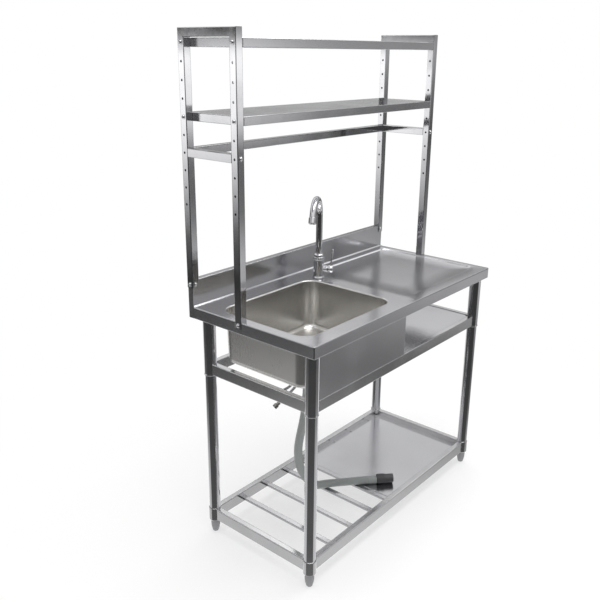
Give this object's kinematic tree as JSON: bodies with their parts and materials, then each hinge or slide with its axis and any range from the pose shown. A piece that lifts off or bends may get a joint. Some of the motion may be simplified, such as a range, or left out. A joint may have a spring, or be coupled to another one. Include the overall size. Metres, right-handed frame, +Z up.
{
  "type": "sink bench with overshelf",
  "caption": "Stainless steel sink bench with a bowl, drainboard, lower shelves, telescoping legs on levelling feet, side-lever mixer tap and tiered overshelf on drilled posts.",
  "frame": {"origin": "on the floor, under the middle of the bench's footprint", "axes": "+Z up, +X to the user's right, the user stands at -Y"},
  "size_m": [1.004, 0.5, 1.605],
  "materials": {
    "deck_steel": "satin brushed stainless",
    "bowl_steel": "pressed satin stainless",
    "sheet_steel": "fine brushed stainless",
    "tube_steel": "bright polished stainless tube",
    "rail_steel": "satin folded stainless",
    "tap_chrome": "polished chrome",
    "foot_plastic": "matt grey nylon",
    "waste_plastic": "satin dark grey polypropylene",
    "hose_plastic": "satin grey corrugated plastic",
    "hose_braid": "stainless braid over rubber",
    "nut_brass": "nickel-plated"
  },
  "bodies": {
    "bench": {"leg_upper_front_left": "tube_steel", "leg_lower_front_left": "tube_steel", "corner_sleeve_front_left": "rail_steel", "post_front_left": "tube_steel", "leg_upper_front_right": "tube_steel", "leg_lower_front_right": "tube_steel", "corner_sleeve_front_right": "rail_steel", "post_front_right": "tube_steel", "leg_upper_back_left": "tube_steel", "leg_lower_back_left": "tube_steel", "corner_sleeve_back_left": "rail_steel", "post_back_left": "tube_steel", "leg_upper_back_right": "tube_steel", "leg_lower_back_right": "tube_steel", "corner_sleeve_back_right": "rail_steel", "post_back_right": "tube_steel", "mid_rail_front": "rail_steel", "mid_rail_back": "rail_steel", "mid_rail_left": "rail_steel", "mid_rail_right": "rail_steel", "low_rail_front": "rail_steel", "low_rail_back": "rail_steel", "low_rail_left": "rail_steel", "low_rail_right": "rail_steel", "top_bar_left": "tube_steel", "side_brace_left": "tube_steel", "top_bar_right": "tube_steel", "side_brace_right": "tube_steel", "back_brace": "tube_steel", "tray_mid": "sheet_steel", "tray_top": "sheet_steel", "mid_shelf_sheet": "sheet_steel", "low_shelf_sheet": "sheet_steel", "front_apron": "sheet_steel", "slat_1": "sheet_steel", "slat_2": "sheet_steel", "slat_3": "sheet_steel", "slat_4": "sheet_steel", "worktop": "deck_steel", "sink_bowl": "bowl_steel", "tap_body": "tap_chrome", "tap_fixing_nut": "nut_brass", "supply_nut_cold": "nut_brass", "supply_nut_hot": "nut_brass", "supply_hose_cold": "hose_braid", "supply_hose_hot": "hose_braid", "waste_fitting": "waste_plastic", "waste_coupling": "waste_plastic", "waste_hose": "hose_plastic"},
    "spout": {"tap_spout": "tap_chrome", "tap_aerator": "tap_chrome"},
    "handle": {"tap_handle_hub": "tap_chrome"},
    "lever": {"tap_lever": "tap_chrome"},
    "strainer_body": {"strainer": "tap_chrome"},
    "levelling_front_left": {"foot_front_left": "foot_plastic"},
    "levelling_front_right": {"foot_front_right": "foot_plastic"},
    "levelling_back_left": {"foot_back_left": "foot_plastic"},
    "levelling_back_right": {"foot_back_right": "foot_plastic"}
  },
  "joints": [
    {"name": "spout_swivel", "type": "hinge", "parent": "bench", "child": "spout", "pos_m": [-0.008, 0.138, 0.8755], "axis": [0, 0, 1], "range_deg": [-120, 120]},
    {"name": "temperature_turn", "type": "hinge", "parent": "bench", "child": "handle", "pos_m": [-0.008, 0.138, 0.832], "axis": [0.5436, -0.8393, 0], "range_deg": [-45, 45]},
    {"name": "flow_lift", "type": "hinge", "parent": "handle", "child": "lever", "pos_m": [0.01374, 0.10443, 0.832], "axis": [0.8393, 0.5436, 0], "range_deg": [0, 25]},
    {"name": "strainer_lift", "type": "slide", "parent": "bench", "child": "strainer_body", "axis": [0, 0, 1], "range_m": [0, 0.06]},
    {"name": "level_front_left", "type": "slide", "parent": "bench", "child": "levelling_front_left", "axis": [0, 0, -1], "range_m": [0, 0.018]},
    {"name": "level_front_right", "type": "slide", "parent": "bench", "child": "levelling_front_right", "axis": [0, 0, -1], "range_m": [0, 0.018]},
    {"name": "level_back_left", "type": "slide", "parent": "bench", "child": "levelling_back_left", "axis": [0, 0, -1], "range_m": [0, 0.018]},
    {"name": "level_back_right", "type": "slide", "parent": "bench", "child": "levelling_back_right", "axis": [0, 0, -1], "range_m": [0, 0.018]}
  ]
}
